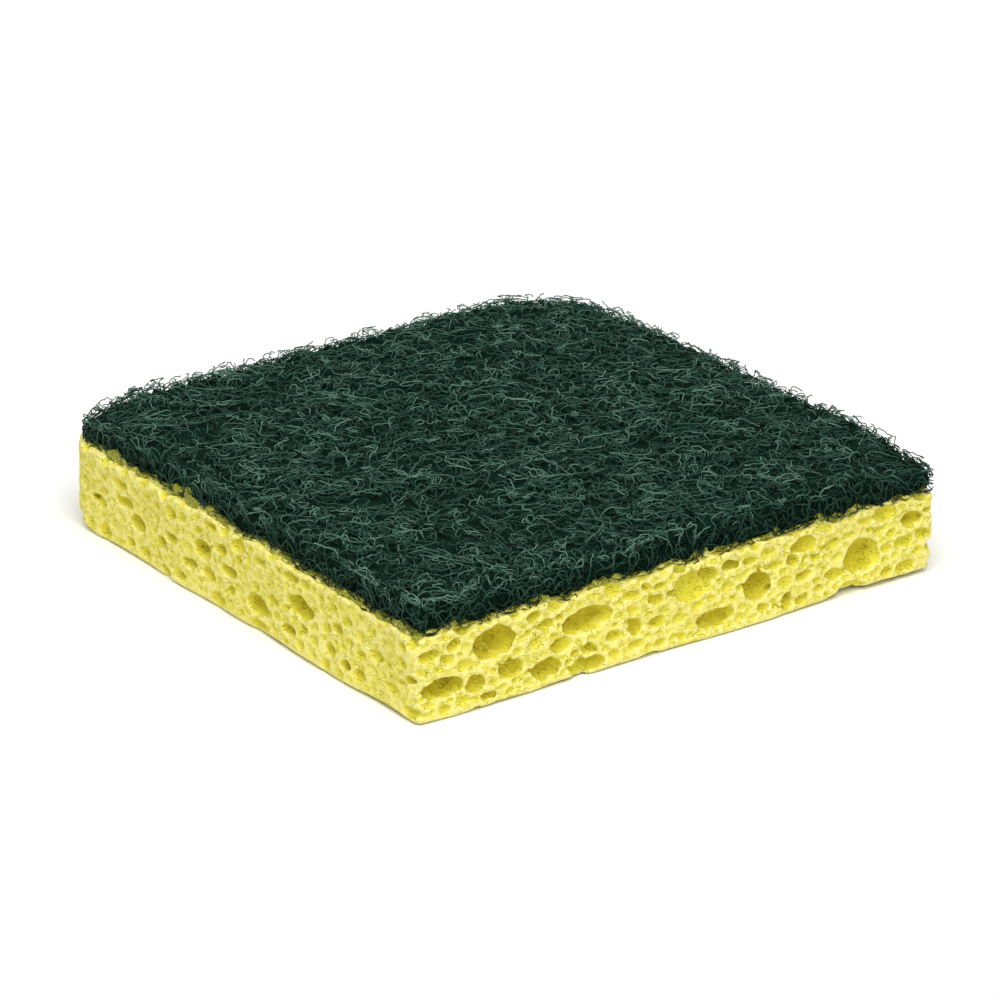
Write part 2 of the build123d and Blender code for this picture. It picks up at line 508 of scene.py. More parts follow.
@dataclass(frozen=True)
class NodeMaker:
    """A short hand for laying out a material's nodes."""

    material: bpy.types.Material

    @property
    def tree(self) -> bpy.types.NodeTree:
        """The material's tree."""
        return self.material.node_tree

    def add(self, kind: str, **settings: object) -> bpy.types.Node:
        """Add a node.

        Args:
            kind: the node's type name, without the ShaderNode in front.
            settings: properties of the node to set.

        Returns:
            The new node.
        """
        node = self.tree.nodes.new("ShaderNode" + kind)
        for key, value in settings.items():
            setattr(node, key, value)
        return node

    def link(self, source: bpy.types.NodeSocket, target: bpy.types.NodeSocket) -> None:
        """Join two sockets."""
        self.tree.links.new(source, target)

    def place(self) -> bpy.types.NodeSocket:
        """Give the place on the object, in metres."""
        return self.add("TexCoord").outputs["Object"]

    def attribute(self, name: str) -> bpy.types.NodeSocket:
        """Read a number written on the vertices."""
        return self.add("Attribute", attribute_name=name).outputs["Fac"]

    def noise(self, size: float, detail: float = 3.0, roughness: float = 0.55) -> bpy.types.NodeSocket:
        """Give noise with features of a size.

        Args:
            size: the features' rough size in millimetres.
            detail: octaves of finer noise.
            roughness: how strong the finer octaves are.

        Returns:
            The noise, from 0 to 1.
        """
        node = self.add("TexNoise")
        node.inputs["Scale"].default_value = 1 / (size * METRES_PER_MM)
        node.inputs["Detail"].default_value = detail
        node.inputs["Roughness"].default_value = roughness
        self.link(self.place(), node.inputs["Vector"])
        return node.outputs["Fac"]

    def pits(self, size: float, tall: float = 1.0) -> bpy.types.NodeSocket:
        """Give the distance to the nearest of scattered points, as a share of their spacing.

        Args:
            size: how far apart the points are, in millimetres.
            tall: how tall each point's cell is, as a share of its width.

        Returns:
            The distance, 0 at a point.
        """
        squash = self.add("Mapping", vector_type="POINT")
        squash.inputs["Scale"].default_value = (1.0, 1.0, 1 / tall)
        self.link(self.place(), squash.inputs["Vector"])
        node = self.add("TexVoronoi", feature="F1")
        node.inputs["Scale"].default_value = 1 / (size * METRES_PER_MM)
        self.link(squash.outputs["Vector"], node.inputs["Vector"])
        return node.outputs["Distance"]

    def ranged(self, value: bpy.types.NodeSocket, start: float, end: float,
               low: float = 0.0, high: float = 1.0) -> bpy.types.NodeSocket:
        """Map a range of values to another, held at both ends.

        Args:
            value: the value to map.
            start: the value that becomes low.
            end: the value that becomes high.
            low: the result at the start.
            high: the result at the end.

        Returns:
            The mapped value.
        """
        node = self.add("MapRange", interpolation_type="SMOOTHSTEP")
        for name, number in (("From Min", start), ("From Max", end), ("To Min", low), ("To Max", high)):
            node.inputs[name].default_value = number
        self.link(value, node.inputs["Value"])
        return node.outputs["Result"]

    def math(self, operation: str, first: bpy.types.NodeSocket,
             second: bpy.types.NodeSocket | float) -> bpy.types.NodeSocket:
        """Combine two values.

        Args:
            operation: Blender's name for the operation.
            first: the first value.
            second: the second value, or a fixed number.

        Returns:
            The result.
        """
        node = self.add("Math", operation=operation)
        self.link(first, node.inputs[0])
        if isinstance(second, float):
            node.inputs[1].default_value = second
        else:
            self.link(second, node.inputs[1])
        return node.outputs["Value"]

    def mixed(self, share: bpy.types.NodeSocket, first: Colour | bpy.types.NodeSocket,
              second: Colour | bpy.types.NodeSocket) -> bpy.types.NodeSocket:
        """Mix two colours.

        Args:
            share: how much of the second, from 0 to 1.
            first: a colour, or a socket that gives one.
            second: a colour, or a socket that gives one.

        Returns:
            The mixed colour.
        """
        node = self.add("Mix", data_type="RGBA")
        self.link(share, node.inputs["Factor"])
        for name, colour in (("A", first), ("B", second)):
            socket = next(s for s in node.inputs if s.name == name and s.type == "RGBA")
            if isinstance(colour, tuple):
                socket.default_value = as_scene_colour(colour)
            else:
                self.link(colour, socket)
        return next(s for s in node.outputs if s.type == "RGBA")

    def bumped(self, height: bpy.types.NodeSocket, depth: float,
               below: bpy.types.NodeSocket | None = None) -> bpy.types.NodeSocket:
        """Turn a height into a bent normal.

        Args:
            height: the height, from 0 to 1.
            depth: what a height of 1 stands for, in millimetres.
            below: a normal that is bent already.

        Returns:
            The normal.
        """
        node = self.add("Bump")
        node.inputs["Distance"].default_value = depth * METRES_PER_MM
        self.link(height, node.inputs["Height"])
        if below is not None:
            self.link(below, node.inputs["Normal"])
        return node.outputs["Normal"]


def new_material(name: str) -> tuple[NodeMaker, bpy.types.Node]:
    """Start a material that holds one plain shader.

    Args:
        name: the material's name.

    Returns:
        The maker of its nodes, and its shader.
    """
    material = bpy.data.materials.new(name)
    material.use_nodes = True
    return NodeMaker(material), material.node_tree.nodes["Principled BSDF"]


@dataclass(frozen=True)
class CelluloseFinish:
    """Dry dyed cellulose, with painted light that makes the cells' rims pale and painted shade that makes the
    insides of the cells deeper yellow.
    """

    # skin is the pale colour at the outer surface and of the painted light on the rims; hollow and deep are
    # painted shade down in the cells; pinhole is painted shade of tiny holes.
    skin: Colour = (0.960, 0.920, 0.56)
    body: Colour = (0.905, 0.865, 0.38)
    hollow: Colour = (0.895, 0.860, 0.28)
    deep: Colour = (0.86, 0.81, 0.23)
    pinhole: Colour = (0.36, 0.35, 0.12)
    roughness: tuple[float, float] = (0.80, 0.96)

    def material(self) -> bpy.types.Material:
        """Make the material."""
        nodes, shader = new_material("cellulose")
        depth, ridge = nodes.attribute("depth"), nodes.attribute("ridge")
        patches, fine = nodes.noise(4.0, 4.0), nodes.noise(0.6, 3.0)
        small, tiny = nodes.pits(1.25, 0.62), nodes.pits(0.62, 0.7)
        small_cells = nodes.ranged(small, 0.48, 0.34)
        small_cells = nodes.math("MULTIPLY", small_cells, nodes.ranged(patches, 0.32, 0.46))
        tiny_cells = nodes.ranged(tiny, 0.46, 0.28)
        # Painted shade: the colour deepens from skin to deep with the depth into the cells and in the small
        # and tiny procedural cells, with random patches mixed in.
        cavity_shade_and_patches = nodes.math("ADD", depth, nodes.ranged(patches, 0.3, 0.7, -0.10, 0.10))
        cavity_shade_and_patches = nodes.math("ADD", cavity_shade_and_patches, nodes.math("MULTIPLY", small_cells, 0.46))
        cavity_shade_and_patches = nodes.math("ADD", cavity_shade_and_patches, nodes.math("MULTIPLY", tiny_cells, 0.22))
        colour = nodes.mixed(nodes.ranged(cavity_shade_and_patches, -0.15, 0.18), self.skin, self.body)
        colour = nodes.mixed(nodes.ranged(cavity_shade_and_patches, 0.22, 0.75), colour, self.hollow)
        colour = nodes.mixed(nodes.ranged(cavity_shade_and_patches, 0.9, 2.6), colour, self.deep)
        # Painted light: rims that stand out of their neighbours turn pale, broken up by fine noise.
        pale = nodes.ranged(ridge, 0.01, 0.10)
        pale = nodes.math("MULTIPLY", pale, nodes.ranged(fine, 0.25, 0.6, 0.5, 0.9))
        colour = nodes.mixed(pale, colour, self.skin)
        # Painted shade: sparse dark dots stand for pinholes too small to carve.
        pinhole_shade = nodes.ranged(nodes.pits(0.45), 0.22, 0.12)
        pinhole_shade = nodes.math("MULTIPLY", pinhole_shade, nodes.ranged(nodes.noise(1.3), 0.60, 0.64))
        colour = nodes.mixed(pinhole_shade, colour, self.pinhole)
        nodes.link(colour, shader.inputs["Base Color"])
        nodes.link(nodes.ranged(fine, 0.3, 0.7, *self.roughness), shader.inputs["Roughness"])
        shader.inputs["Specular IOR Level"].default_value = 0.2
        normal = nodes.bumped(nodes.math("SUBTRACT", fine, small_cells), 0.14)
        normal = nodes.bumped(nodes.math("SUBTRACT", fine, tiny_cells), 0.06, normal)
        nodes.link(normal, shader.inputs["Normal"])
        return nodes.material


@dataclass(frozen=True)
class GlueFinish:
    """Dried glue: cream along the joint, and olive to dark olive as painted shade where it has crept up into
    the fibres.
    """

    cream: Colour = (0.90, 0.87, 0.50)
    grey: Colour = (0.80, 0.78, 0.46)
    olive: Colour = (0.62, 0.62, 0.10)
    dark_olive: Colour = (0.34, 0.37, 0.07)

    def material(self) -> bpy.types.Material:
        """Make the material."""
        nodes, shader = new_material("glue")
        rise = nodes.attribute("rise")
        patches, fine = nodes.noise(1.2, 3.0), nodes.noise(0.35, 2.0)
        cream = nodes.mixed(nodes.ranged(patches, 0.4, 0.7), self.cream, self.grey)
        olive = nodes.mixed(nodes.ranged(fine, 0.4, 0.65), self.olive, self.dark_olive)
        # Painted shade: the glue turns olive and dark olive as it rises among the pad's fibres.
        climbed = nodes.math("ADD", rise, nodes.ranged(patches, 0.3, 0.7, -0.25, 0.25))
        nodes.link(nodes.mixed(nodes.ranged(climbed, -0.08, 0.16), cream, olive), shader.inputs["Base Color"])
        nodes.link(nodes.ranged(fine, 0.3, 0.7, 0.45, 0.75), shader.inputs["Roughness"])
        nodes.link(nodes.bumped(fine, 0.12), shader.inputs["Normal"])
        return nodes.material


@dataclass(frozen=True)
class WebFinish:
    """The matted inside of the pad: near-black green, partly the resin's own dark green and partly painted
    shade of the deep web, with lighter fibres across it.
    """

    # dark and body are partly painted shade of the web's depth.
    dark: Colour = (0.010, 0.090, 0.055)
    body: Colour = (0.040, 0.140, 0.100)
    light: Colour = (0.13, 0.25, 0.20)

    def material(self) -> bpy.types.Material:
        """Make the material."""
        nodes, shader = new_material("scouring_web")
        fine, coarse = nodes.noise(0.35, 3.0, 0.7), nodes.noise(1.6, 3.0)
        colour = nodes.mixed(nodes.ranged(coarse, 0.35, 0.65), self.dark, self.body)
        colour = nodes.mixed(nodes.ranged(fine, 0.54, 0.72, 0.0, 0.8), colour, self.light)
        nodes.link(colour, shader.inputs["Base Color"])
        nodes.link(nodes.ranged(fine, 0.3, 0.7, 0.55, 0.9), shader.inputs["Roughness"])
        normal = nodes.bumped(coarse, 0.5)
        nodes.link(nodes.bumped(fine, 0.25, normal), shader.inputs["Normal"])
        shader.inputs["Specular IOR Level"].default_value = 0.03
        return nodes.material


@dataclass(frozen=True)
class FibreFinish:
    """One resin-coated fibre: its tone runs from deep to a lighter, bluer bright, and the painted shade in
    the tone makes it darker deep in the web and lighter on top.
    """

    deep: Colour = (0.035, 0.150, 0.105)
    plain: Colour = (0.160, 0.300, 0.240)
    bright: Colour = (0.40, 0.545, 0.475)

    def material(self) -> bpy.types.Material:
        """Make the material."""
        nodes, shader = new_material("scouring_fibre")
        tone = nodes.attribute("tone")
        grain = nodes.noise(0.5, 2.0)
        shade = nodes.math("ADD", tone, nodes.ranged(grain, 0.3, 0.7, -0.06, 0.06))
        colour = nodes.mixed(nodes.ranged(shade, 0.05, 0.5), self.deep, self.plain)
        colour = nodes.mixed(nodes.ranged(shade, 0.5, 0.95), colour, self.bright)
        nodes.link(colour, shader.inputs["Base Color"])
        nodes.link(nodes.ranged(grain, 0.3, 0.7, 0.42, 0.62), shader.inputs["Roughness"])
        nodes.link(nodes.bumped(grain, 0.05), shader.inputs["Normal"])
        shader.inputs["Specular IOR Level"].default_value = 0.15
        return nodes.material


@dataclass
class SpongeBlock:
    """The cellulose block, carved cell by cell out of its outline."""

    node: str = "sponge_block"
    rounded_radius: float = 15.5
    tight_radius: float = 6.5
    cut_radius: float = 1.3
    rim_radius: float = 0.9
    step: float = 0.23
    most_faces: int = 196000
    wall_ripple: Ripple = Ripple(wavelength=22.0, amplitude=0.22, seed=3)
    base_ripple: Ripple = Ripple(wavelength=16.0, amplitude=0.20, seed=4)
    ripple_room: float = 0.6
    curl_start: float = 22.0
    curl_run: float = 9.0
    curl_height: float = 0.55
    worn_reach: float = 9.0
    worn_height: float = 2.6
    worn_power: float = 1.2
    placed_seed: int = 21
    placed_lip: tuple[float, float] = (0.15, 0.3)
    placed_swell: float = 1.06
    placed_turn: float = 0.1
    elsewhere_seed: int = 22
    base_count: int = 46
    base_width: tuple[float, float] = (1.3, 3.2)
    back_count: int = 40
    back_width: tuple[float, float] = (1.2, 2.9)
    back_narrowing: float = 0.8
    cell_seed: int = 11
    cell_warp: tuple[Ripple, ...] = (
        Ripple(wavelength=3.4, amplitude=0.20, seed=5, waves=5),
        Ripple(wavelength=3.4, amplitude=0.20, seed=6, waves=5),
        Ripple(wavelength=2.8, amplitude=0.18, seed=7, waves=5),
    )
    corner_skin: float = 0.9
    pitted_depth: float = 0.8
    pit_count: int = 420
    pit_radius: tuple[float, float] = (0.3, 0.6)
    edge_guard: float = 1.4
    long_side_shallower: float = 0.35
    long_side_wanted: float = 0.45
    widest_scattered: float = 2.3

    def __post_init__(self) -> None:
        """Read the block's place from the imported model."""
        self.low, self.high = node_box(self.node)
        self.plan = Plan(
            (self.low[0], self.low[1]), (self.high[0], self.high[1]),
            self.rounded_radius, self.tight_radius, self.cut_radius,
        )

    def outside(self, x: Array, y: Array, z: Array) -> Array:
        """Give the distance to the uncarved block.

        Args:
            x: places along X.
            y: places along Y.
            z: places along Z, all three of which broadcast.

        Returns:
            The distance, below zero inside.
        """
        side = self.plan.distance(x, y) + self.wall_ripple.at(x, y, z)
        curled = ((x - self.curl_start) / self.curl_run).clip(0, 1)
        curled = curled * ((-y - self.curl_start) / self.curl_run).clip(0, 1)
        worn = (1 - np.hypot(x - self.low[0], self.high[1] - y) / self.worn_reach).clip(0, 1)
        lifted = self.curl_height * curled + self.worn_height * worn**self.worn_power
        base = self.low[2] - z + np.abs(self.base_ripple.at(x, y)) + lifted
        rim_side, rim_base = side + self.rim_radius, base + self.rim_radius
        rounded = np.hypot(np.maximum(rim_side, 0), np.maximum(rim_base, 0)) - self.rim_radius
        lower = np.minimum(np.maximum(rim_side, rim_base), 0) + rounded
        return np.maximum(lower, z - self.high[2] + Seam().drop(x, y, self.plan.distance(x, y)))

    def hand_placed(self, grid: Grid) -> None:
        """Carve the large cells that have a place of their own on the two front walls."""
        rng = np.random.default_rng(self.placed_seed)
        for wall, cells in ((Wall.CUT_FACE, CUT_FACE_CELLS), (Wall.LONG_SIDE, LONG_SIDE_CELLS)):
            for cell in cells:
                across = cell.depth * rng.uniform(*self.placed_lip)
                if wall is Wall.LONG_SIDE:
                    across -= self.long_side_shallower
                radii = np.array([cell.width / 2, cell.depth - across, cell.height / 2]) * self.placed_swell
                place = np.array([self.low[0] + cell.along, self.low[1] + across, self.low[2] + cell.up])
                turn = rng.uniform(-self.placed_turn, self.placed_turn)
                if wall is Wall.LONG_SIDE:
                    place[:2] = self.low[0] + across, self.low[1] + cell.along
                    turn += math.pi / 2
                grid.carve(place, radii, turn, self.widest_scattered)

    def large_elsewhere(self, grid: Grid) -> None:
        """Carve large cells on the base and on the two walls behind."""
        rng = np.random.default_rng(self.elsewhere_seed)
        size = self.high - self.low
        for _ in range(self.base_count):
            place = self.low + size * np.array([rng.uniform(0.04, 0.96), rng.uniform(0.04, 0.94), 0.0])
            width = rng.uniform(*self.base_width)
            radii = np.array([width, width * rng.uniform(0.7, 1.0), width * rng.uniform(0.5, 0.7)])
            place[2] += rng.uniform(-0.1, 0.3) * radii[2]
            grid.carve(place, radii, rng.uniform(0, math.pi), self.widest_scattered)
        for index in range(self.back_count):
            on_back = index % 2 == 0
            place = self.low + size * np.array([rng.uniform(0.1, 0.9), 1.0, rng.uniform(0.12, 0.85)])
            if not on_back:
                place[:2] = self.high[0], self.low[1] + size[1] * rng.uniform(0.04, 0.85)
            width = rng.uniform(*self.back_width)
            radii = np.array([width, width * self.back_narrowing, width * rng.uniform(0.4, 0.7)])
            grid.carve(place, radii, 0.0 if on_back else math.pi / 2, self.widest_scattered)

    def scatter(self, grid: Grid, outside: Array, size: CellSize, rng: np.random.Generator) -> int:
        """Carve cells of one size wherever there is room for them on the block's surface.

        Args:
            grid: the block's distances, which are changed.
            outside: the distances to the uncarved block.
            size: the cells to carve.
            rng: the source of chance.

        Returns:
            How many cells were carved.
        """
        x, y, z = grid.axes()
        on_long_side = (x < self.low[0] + self.edge_guard) & (y > self.low[1] + self.edge_guard)
        wanted = np.where(on_long_side, self.long_side_wanted, size.lifted) * size.radius
        near = (np.abs(outside - wanted) < 0.5 * grid.step) & (grid.room > size.overlap * size.radius)
        top = int((self.high[2] - grid.origin[2]) / grid.step)
        bottom = int((self.low[2] + self.step - grid.origin[2]) / grid.step)
        near[:, :, top:] = False
        if not size.on_base:
            near[:, :, :bottom] = False
        skin = ((self.low[:2] + self.corner_skin - grid.origin[:2]) / grid.step).astype(int)
        near[: skin[0], : skin[1]] = False
        clear_of_edge = self.plan.distance(x, y) < -self.edge_guard - size.radius
        near &= (z > self.low[2] + self.edge_guard) | clear_of_edge
        found = np.argwhere(near)
        rng.shuffle(found)
        found = found[: int(size.share * len(found))]
        carved = 0
        for i, j, k in found.tolist():
            radius = size.radius * (1 + size.spread * rng.uniform(-1, 1))
            if grid.room[i, j, k] < size.overlap * radius:
                continue
            radii = radius * np.array([rng.uniform(0.95, 1.15), rng.uniform(0.85, 1.05), size.flatness])
            centre = grid.origin + grid.step * (np.array([i, j, k]) + rng.uniform(-0.5, 0.5, 3))
            grid.carve(centre, radii, rng.uniform(0, math.pi), radius)
            carved += 1
        return carved

    def pit_the_hollows(self, grid: Grid, outside: Array, rng: np.random.Generator) -> None:
        """Carve small cells into the walls of the large ones.

        Args:
            grid: the block's distances, which are changed.
            outside: the distances to the uncarved block.
            rng: the source of chance.
        """
        found = np.argwhere((np.abs(grid.values) < 0.4 * grid.step) & (outside < -self.pitted_depth))
        rng.shuffle(found)
        for place in found[: self.pit_count]:
            radius = rng.uniform(*self.pit_radius)
            radii = radius * np.array([1.0, rng.uniform(0.8, 1.0), rng.uniform(0.6, 0.9)])
            grid.carve(grid.origin + grid.step * place, radii, rng.uniform(0, math.pi))

    def build(self) -> bpy.types.Object:
        """Carve, mesh and dress the block.

        Returns:
            The finished piece.
        """
        above = self.high + np.array([self.ripple_room, self.ripple_room, 0.0])
        grid = Grid(self.low - self.ripple_room, above, self.step)
        x, y, z = grid.axes()
        outside = self.outside(x, y, z).astype(np.float32)
        grid.values[:] = outside
        grid.warp_by(self.cell_warp)
        self.hand_placed(grid)
        self.large_elsewhere(grid)
        rng = np.random.default_rng(self.cell_seed)
        for size in CELL_LADDER:
            log.info("cells of radius %.2f: %d", size.radius, self.scatter(grid, outside, size, rng))
        self.pit_the_hollows(grid, outside, rng)
        grid.soften()
        top = z - self.high[2] + Seam().drop(x, y, self.plan.distance(x, y))
        grid.values[:] = np.maximum(grid.values, top)
        mesh = grid.meshed("sponge_body", self.most_faces)
        points = vertices_of(mesh)
        height = points[:, 2].clip(None, self.high[2] - self.edge_guard)
        # The depth and ridge marks drive the cellulose's painted shade in the cells and the painted light on
        # their rims.
        mark(mesh, "depth", -self.outside(points[:, 0], points[:, 1], height))
        mark(mesh, "ridge", ridges_of(mesh, 2))
        mesh.materials.append(CelluloseFinish().material())
        piece = place(mesh)
        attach(piece, "root")
        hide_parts(self.node)
        return piece


@dataclass
class AdhesiveLayer:
    """The film of glue, with a ragged lip that creeps up into the edge of the pad."""

    node: str = "adhesive_layer"
    rounded_radius: float = 15.2
    tight_radius: float = 6.2
    cut_radius: float = 1.2
    step: float = 0.22
    most_faces: int = 46000
    lip_inset: float = 0.90
    lip_thickness: float = 0.45
    lip_foot: float = 0.10
    film_inset: float = 0.35
    lip_height: float = -0.05
    reach_up: float = 1.9
    ripple_room: float = 0.6
    seam_room: float = 2.4
    film_growth: float = 0.05
    creep_stretch: float = 0.6
    edge_ripple: Ripple = Ripple(wavelength=2.6, amplitude=0.20, seed=31)
    foot_ripple: Ripple = Ripple(wavelength=2.0, amplitude=0.14, seed=34)
    creep: Ripple = Ripple(wavelength=2.4, amplitude=0.42, seed=32)
    slow_creep: Ripple = Ripple(wavelength=9.0, amplitude=0.80, seed=33)

    def build(self) -> bpy.types.Object:
        """Mesh and dress the film.

        Returns:
            The finished piece.
        """
        low, high = node_box(self.node)
        plan = Plan(
            (low[0], low[1]), (high[0], high[1]),
            self.rounded_radius, self.tight_radius, self.cut_radius,
        )
        below = low - np.array([self.ripple_room, self.ripple_room, self.seam_room])
        above = high + np.array([self.ripple_room, self.ripple_room, self.reach_up])
        grid = Grid(below, above, self.step)
        x, y, z = grid.axes()
        drop = Seam().drop(x, y, plan.distance(x, y))
        side = plan.distance(x, y) + self.edge_ripple.at(x, y, z)
        creep = self.creep.at(x, y, self.creep_stretch * z)
        crest = high[2] - drop + self.lip_height + creep + self.slow_creep.at(x, y)
        foot = low[2] - drop - self.film_growth + self.foot_ripple.at(x, y)
        film = np.maximum(foot - z, z - high[2] + drop + self.film_growth)
        film = np.maximum(side + self.film_inset, film)
        lip = np.abs(side + self.lip_inset) - self.lip_thickness
        lip = np.maximum(lip, np.maximum(low[2] - drop - self.lip_foot - z, z - crest))
        grid.values[:] = np.minimum(film, lip)
        mesh = grid.meshed("glue_film", self.most_faces)
        points = vertices_of(mesh)
        level = low[2] - Seam().drop(points[:, 0], points[:, 1], plan.distance(points[:, 0], points[:, 1]))
        # The rise drives the glue's painted shade among the fibres.
        mark(mesh, "rise", (points[:, 2] - level) / self.reach_up)
        mesh.materials.append(GlueFinish().material())
        piece = place(mesh)
        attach(piece, "root")
        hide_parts(self.node)
        return piece


@dataclass(frozen=True)
class FibreBatch:
    """Fibres that are made together as one piece.

    Attributes:
        name: the piece's name.
        count: how many fibres.
        points: how many points along each.
        step: how far apart the points are.
        curl: how far a fibre usually turns between points, in radians.
        lean: how far the axes of its curls lean from the upright, 0 for flat curls.
        radius: from a fibre's middle to its corners.
        depth: the lowest and the highest that a fibre lies over the pad's face.
        tone: how light the darkest and the lightest fibre are, held from 0 to 1.
        seed: the seed of their chance.
    """

    name: str
    count: int
    points: int
    step: float
    curl: float
    lean: float
    radius: float
    depth: tuple[float, float]
    tone: tuple[float, float]
    seed: int


# The deeper batches get darker tones, which is painted shade of the web's depth.
TOP_BATCHES = (
    FibreBatch(
        name="web_low", count=1270, points=26, step=0.56, curl=0.56, lean=1.3,
        radius=0.105, depth=(-1.2, -0.15), tone=(0.08, 0.63), seed=51,
    ),
    FibreBatch(
        name="web_middle", count=1270, points=26, step=0.52, curl=0.60, lean=1.3,
        radius=0.092, depth=(-1.0, 0.10), tone=(0.17, 0.80), seed=52,
    ),
    FibreBatch(
        name="web_top", count=1270, points=26, step=0.48, curl=0.62, lean=1.3,
        radius=0.080, depth=(-0.95, 0.22), tone=(0.27, 0.95), seed=53,
    ),
)
# The side fibres' tones run lighter than the top's, which is painted light that brightens the pad's sides.
SIDE_BATCH = FibreBatch(
    name="web_sides", count=860, points=22, step=0.50, curl=0.62, lean=0.8,
    radius=0.090, depth=(-0.55, 0.42), tone=(0.32, 1.1), seed=54,
)


@dataclass
class ScouringPad:
    """The non-woven pad: a matted dark core under layers of curled fibres."""

    node: str = "scouring_pad"
    rounded_radius: float = 14.9
    tight_radius: float = 5.9
    cut_radius: float = 0.9
    core_inset: float = 0.90
    core_side_inset: float = 0.50
    core_foot: float = 0.1
    seam_room: float = 1.6
    core_step: float = 0.36
    core_faces: int = 60000
    core_ripple: Ripple = Ripple(wavelength=2.6, amplitude=0.28, seed=41)
    core_grain: Ripple = Ripple(wavelength=1.1, amplitude=0.16, seed=42)
    side_overhang: float = 0.45
    start_beyond: float = 1.0
    overhang_shape: float = 1.4
    overhang_scale: float = 0.22
    overhang_inset: float = 0.35
    furthest_overhang: float = 0.45
    pulls: int = 4
    pull: float = 0.9
    edge_fall: float = 0.9
    edge_reach: float = 1.6
    edge_power: float = 1.5
    edge_share: tuple[float, float] = (0.4, 1.0)
    worn_corner_reach: float = 13.0
    worn_corner_power: float = 1.3
    left_droop: float = 2.3
    right_droop: float = 2.4
    kink: float = 0.055
    turning_chance: float = 0.22
    curl_share: tuple[float, float] = (0.4, 1.5)
    bend_share: tuple[float, float] = (0.5, 1.5)
    bend_follow: float = 0.5
    axis_drift: float = 0.12
    axis_pull: float = 0.15
    rise_gain: float = 1.6
    # deepest, top_light and least_top_light set the painted shade of the fibres that lie deep in the web.
    deepest: float = 2.0
    top_light: float = 1.1
    least_top_light: float = 0.25
    # foot_light, rim_light and least_side_light set the painted shade of the side fibres towards the foot.
    foot_light: float = 0.30
    rim_light: float = 0.70
    least_side_light: float = 0.1
    tone_drift: float = 0.08
    tone_phase: float = 6.0
    tone_pace: float = 0.3

    def __post_init__(self) -> None:
        """Read the pad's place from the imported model."""
        self.low, self.high = node_box(self.node)
        self.plan = Plan(
            (self.low[0], self.low[1]), (self.high[0], self.high[1]),
            self.rounded_radius, self.tight_radius, self.cut_radius,
        )

    def droop(self, x: Array, y: Array) -> Array:
        """Give how far the pad's worn left and right corners lie below the level of its top."""
        left = (1 - np.hypot(x - self.low[0], self.high[1] - y) / self.worn_corner_reach).clip(0, 1)
        right = (1 - np.hypot(self.high[0] - x, y - self.low[1]) / self.worn_corner_reach).clip(0, 1)
        power = self.worn_corner_power
        return self.left_droop * left**power + self.right_droop * right**power

    def dress(self, mesh: bpy.types.Mesh, material: bpy.types.Material) -> bpy.types.Object:
        """Turn a mesh into a finished piece of the pad.

        Args:
            mesh: the piece's mesh.
            material: its finish.

        Returns:
            The finished piece.
        """
        mesh.materials.append(material)
        piece = place(mesh)
        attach(piece, "root")
        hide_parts(self.node)
        return piece

    def build_core(self) -> bpy.types.Object:
        """Make the matted core, drawn in from the fibres that cover it."""
        grid = Grid(self.low - np.array([0.0, 0.0, self.seam_room]), self.high, self.core_step)
        x, y, z = grid.axes()
        drop = Seam().drop(x, y, self.plan.distance(x, y))
        rough = self.core_ripple.at(x, y, z) + self.core_grain.at(x, y, z)
        side = self.plan.distance(x, y) + self.core_side_inset + rough
        under = self.low[2] - drop - self.core_foot - z
        over = z - self.high[2] + self.droop(x, y) + self.core_inset + rough
        grid.values[:] = np.maximum(side, np.maximum(under, over))
        return self.dress(grid.meshed("web_core", self.core_faces), WebFinish().material())

    def wander(self, batch: FibreBatch, rng: np.random.Generator) -> Array:
        """Draw curled lines through space, each round its own wandering axis.

        Args:
            batch: the fibres to draw.
            rng: the source of chance.

        Returns:
            The points by fibre, point and axis, centred on zero.
        """
        count, lean = batch.count, batch.lean
        axis = np.concatenate([rng.normal(0, lean, (count, 2)), rng.choice([-1.0, 1.0], (count, 1))], 1)
        heading = rng.normal(size=(count, 3)) * np.array([1.0, 1.0, lean])
        side = np.ones((count, 1))
        tight = batch.curl * rng.uniform(*self.curl_share, (count, 1))
        bend = tight.copy()
        points = [np.zeros((count, 3))]
        for _ in range(batch.points - 1):
            axis = axis + rng.normal(0, self.axis_drift * lean, (count, 3))
            axis /= np.linalg.norm(axis, axis=1, keepdims=True)
            heading = heading - self.axis_pull * axis * (heading * axis).sum(1, keepdims=True)
            heading = heading + np.tan(bend) * np.cross(axis, heading)
            heading /= np.linalg.norm(heading, axis=1, keepdims=True)
            side = np.where(rng.random((count, 1)) < self.turning_chance, -side, side)
            wanted = side * tight * rng.uniform(*self.bend_share, (count, 1))
            bend += self.bend_follow * (wanted - bend)
            points.append(points[-1] + batch.step * heading)
        lines = np.stack(points, 1)
        return lines - lines.mean(1, keepdims=True)

    def pressed(self, batch: FibreBatch, height: Array, rng: np.random.Generator) -> Array:
        """Press heights softly between the batch's depths, as the mat was pressed flat.

        Args:
            batch: the fibres, with their depths.
            height: the free heights, by fibre and point.
            rng: the source of chance.

        Returns:
            The heights over the pad's face.
        """
        low, high = batch.depth
        half = (high - low) / 2
        offset = rng.uniform(-half, half, (batch.count, 1))
        return low + half + half * np.tanh((self.rise_gain * height + offset) / half)

